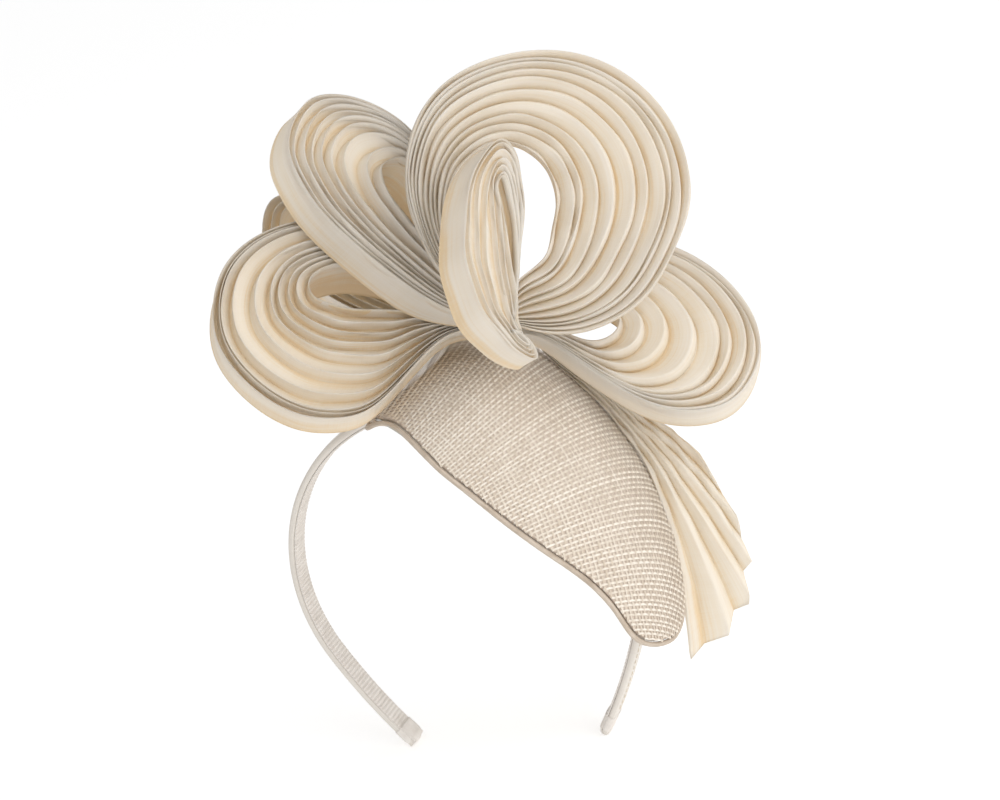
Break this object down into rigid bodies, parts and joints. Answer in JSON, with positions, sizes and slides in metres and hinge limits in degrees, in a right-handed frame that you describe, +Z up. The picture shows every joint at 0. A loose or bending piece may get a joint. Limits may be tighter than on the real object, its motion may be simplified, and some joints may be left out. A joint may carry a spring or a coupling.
{
  "type": "fascinator headpiece",
  "caption": "Woven teardrop base with fanned loops and a tail of pleated strip, held on a slim covered headband whose two legs spring apart.",
  "frame": {"origin": "centre of the headband's crown arc, at the middle of the band's width", "axes": "+Z up through the crown, the band stands in the XZ plane, -Y is the way the wearer faces, +X the wearer's left"},
  "size_m": [0.1813, 0.0968, 0.2411],
  "materials": {
    "sinamay": "open woven straw, slight sheen",
    "buckram": "matt stiffened cloth",
    "base_lining": "matt plain weave",
    "rim_binding": "folded straw edge",
    "wire": "drawn",
    "pleated_silk": "crisp, fine lengthwise threads, soft sheen",
    "satin_ribbon": "satin sheen",
    "ribbed_ribbon": "cross ribbed",
    "band_core": "moulded",
    "thread": "twisted thread"
  },
  "bodies": {
    "headpiece": {"crown_core": "band_core", "crown_cover": "satin_ribbon", "crown_lining": "ribbed_ribbon", "base_sinamay": "sinamay", "base_stiffener": "buckram", "base_lining": "base_lining", "rim_wire": "wire", "rim_binding": "rim_binding", "band_tacks": "thread", "loop_root": "thread", "top_loop": "pleated_silk", "upper_left_loop": "pleated_silk", "left_loop": "pleated_silk", "right_loop": "pleated_silk", "rear_loop": "pleated_silk", "centre_loop": "pleated_silk", "tail_fan": "pleated_silk"},
    "left_leg": {"left_leg_core": "band_core", "left_leg_cover": "satin_ribbon", "left_leg_lining": "ribbed_ribbon", "left_tip_fold": "ribbed_ribbon"},
    "right_leg": {"right_leg_core": "band_core", "right_leg_cover": "satin_ribbon", "right_leg_lining": "ribbed_ribbon", "right_tip_fold": "ribbed_ribbon"}
  },
  "joints": [
    {"name": "left_leg_flex", "type": "hinge", "parent": "headpiece", "child": "left_leg", "pos_m": [-0.02182, 0, 0.05995], "axis": [0, 1, 0], "range_deg": [-2, 10], "stiffness_Nm_per_rad": 0.35},
    {"name": "right_leg_flex", "type": "hinge", "parent": "headpiece", "child": "right_leg", "pos_m": [0.06376, 0, -0.00223], "axis": [0, -1, 0], "range_deg": [-2, 10], "stiffness_Nm_per_rad": 0.35}
  ]
}
